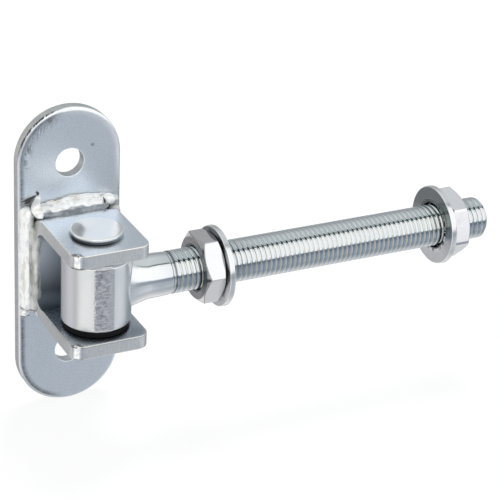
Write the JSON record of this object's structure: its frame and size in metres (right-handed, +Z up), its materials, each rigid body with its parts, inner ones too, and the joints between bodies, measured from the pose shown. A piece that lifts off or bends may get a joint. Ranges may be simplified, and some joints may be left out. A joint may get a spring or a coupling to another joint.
{
  "type": "adjustable gate hinge",
  "caption": "Bolt-on gate hinge: a welded U bracket on a stadium plate, a pin, and a threaded eye bolt with nuts and washers that set the gate's distance.",
  "frame": {"origin": "middle of the base plate's back face, which lies on the post", "axes": "+Y into the post, square to the plate; +X along the eye bolt's rod as pictured; +Z up along the hinge pin"},
  "size_m": [0.1816, 0.0462, 0.12],
  "materials": {
    "zinc_plate": "satin bright zinc plate on sheared strip",
    "zinc_bright": "polished bright zinc plate on turned and forged steel",
    "weld_metal": "rippled weld metal under zinc plate",
    "black_nylon": "moulded black nylon"
  },
  "bodies": {
    "post_bracket": {"base_plate": "zinc_plate", "u_bracket": "zinc_plate", "weld_top": "weld_metal", "weld_bottom": "weld_metal", "weld_left": "weld_metal", "weld_right": "weld_metal", "hinge_pin": "zinc_bright", "retaining_ring": "zinc_bright", "upper_thrust_washer": "black_nylon", "lower_thrust_washer": "black_nylon"},
    "gate_rod": {"eye_bolt": "zinc_bright"},
    "inner_washer_slide": {"inner_washer": "zinc_bright"},
    "inner_nut_turn": {"inner_nut": "zinc_bright"},
    "outer_washer_slide": {"outer_washer": "zinc_bright"},
    "outer_nut_turn": {"outer_nut": "zinc_bright"}
  },
  "joints": [
    {"name": "gate_swing", "type": "hinge", "parent": "post_bracket", "child": "gate_rod", "pos_m": [0, -0.0308, 0.0011], "axis": [0, 0, 1], "range_deg": [-205, 25]},
    {"name": "inner_travel", "type": "slide", "parent": "gate_rod", "child": "inner_washer_slide", "axis": [1, 0, 0], "range_m": [-0.01, 0.045]},
    {"name": "inner_nut_spin", "type": "hinge", "parent": "inner_washer_slide", "child": "inner_nut_turn", "pos_m": [0.0425, -0.0308, 0.0011], "axis": [1, 0, 0], "range_deg": [-1790, 8090]},
    {"name": "outer_travel", "type": "slide", "parent": "gate_rod", "child": "outer_washer_slide", "axis": [1, 0, 0], "range_m": [-0.045, 0.01]},
    {"name": "outer_nut_spin", "type": "hinge", "parent": "outer_washer_slide", "child": "outer_nut_turn", "pos_m": [0.1468, -0.0308, 0.0011], "axis": [1, 0, 0], "range_deg": [-8090, 1790]}
  ],
  "couplings": [
    {"joint": "inner_travel", "follows": "inner_nut_spin", "m_per_rad": 0.00031831},
    {"joint": "outer_travel", "follows": "outer_nut_spin", "m_per_rad": 0.00031831}
  ]
}
